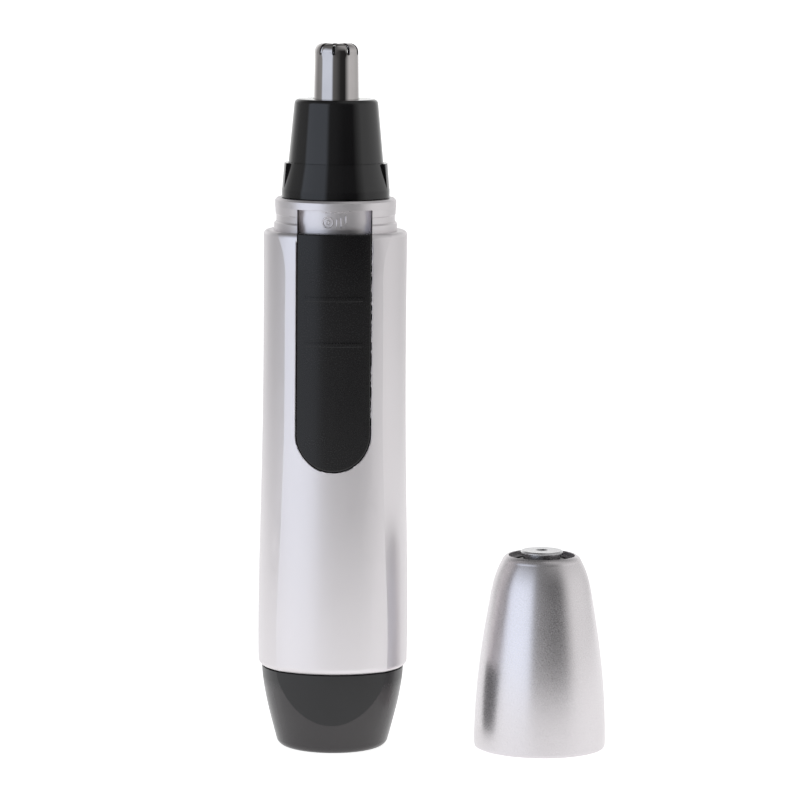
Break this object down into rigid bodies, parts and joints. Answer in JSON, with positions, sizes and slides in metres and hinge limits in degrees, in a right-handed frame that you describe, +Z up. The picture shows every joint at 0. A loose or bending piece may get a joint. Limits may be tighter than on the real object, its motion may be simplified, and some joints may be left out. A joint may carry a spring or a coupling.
{
  "type": "nose hair trimmer",
  "caption": "Battery-powered nose hair trimmer with a slotted rotary cutting head, a thumb slide switch, a twist-off battery cap and a separate domed dust cap.",
  "frame": {"origin": "centre of the flat base that the trimmer stands on", "axes": "+Z up the handle towards the cutting head, -Y the side with the slide switch, +X towards the loose dust cap"},
  "size_m": [0.0673, 0.027, 0.1354],
  "materials": {
    "silver_plastic": "satin silver paint on moulded plastic",
    "gloss_black": "glossy black moulded plastic",
    "satin_black": "semi-gloss black moulded plastic",
    "stainless_steel": "polished stainless steel",
    "button_metal": "turned metal",
    "black_frame": "moulded black plastic",
    "white_nylon": "natural nylon",
    "cell_steel": "nickel plated steel",
    "cell_sleeve": "plain shrink sleeve",
    "contact_nickel": "nickel plated strip",
    "motor_steel": "zinc plated steel",
    "screw_steel": "plated steel",
    "blade_steel": "ground stainless steel",
    "spring_steel": "drawn spring wire",
    "brass": "stamped brass",
    "bush_bronze": "sintered bronze",
    "copper_wire": "enamelled copper",
    "ferrite": "sintered ferrite",
    "seal_rubber": "rubber ring"
  },
  "bodies": {
    "handle": {"body_shell": "silver_plastic", "chassis_front": "black_frame", "chassis_rear": "black_frame", "chassis_screws": "screw_steel", "battery_cell": "cell_steel", "cell_sleeve": "cell_sleeve", "positive_strip": "contact_nickel", "motor_strip": "contact_nickel", "negative_strip": "contact_nickel", "motor_can": "motor_steel", "motor_end_cap": "white_nylon", "motor_terminals": "brass", "motor_brushes": "brass", "motor_bushes": "bush_bronze", "motor_magnets": "ferrite"},
    "motor_rotor": {"motor_shaft": "screw_steel", "armature_core": "motor_steel", "armature_windings": "copper_wire", "commutator": "copper_wire", "drive_fork": "white_nylon"},
    "switch": {"switch_cover": "gloss_black", "switch_slider": "black_frame", "switch_leaf": "brass"},
    "head": {"head_collar": "gloss_black", "head_cone": "gloss_black", "outer_cutter": "stainless_steel", "head_bush": "white_nylon"},
    "blade_rotor": {"blade_shaft": "screw_steel", "inner_cutter": "blade_steel", "blade_spring": "spring_steel"},
    "battery_cap": {"battery_cap": "satin_black", "cap_contact": "contact_nickel", "battery_spring": "spring_steel", "battery_cap_seal": "seal_rubber"},
    "dust_cap": {"cap_shell": "silver_plastic", "cap_plug": "satin_black", "cap_button": "button_metal"}
  },
  "joints": [
    {"name": "switch_slide", "type": "slide", "parent": "handle", "child": "switch", "axis": [0, 0, 1], "range_m": [0, 0.00415]},
    {"name": "motor_spin", "type": "hinge", "parent": "handle", "child": "motor_rotor", "pos_m": [0, 0, 0.076], "axis": [0, 0, 1], "continuous": true},
    {"name": "blade_spin", "type": "hinge", "parent": "handle", "child": "blade_rotor", "pos_m": [0, 0, 0.12], "axis": [0, 0, 1], "continuous": true},
    {"name": "head_twist", "type": "hinge", "parent": "handle", "child": "head", "pos_m": [0, 0, 0.11], "axis": [0, 0, 1], "range_deg": [0, 30]},
    {"name": "battery_cap_twist", "type": "hinge", "parent": "handle", "child": "battery_cap", "pos_m": [0, 0, 0.008], "axis": [0, 0, 1], "range_deg": [0, 35]},
    {"name": "dust_cap_lift", "type": "slide", "parent": "handle", "child": "dust_cap", "axis": [0, 0, 1], "range_m": [0, 0.06]}
  ],
  "couplings": [
    {"joint": "blade_spin", "follows": "motor_spin", "ratio": 1}
  ]
}
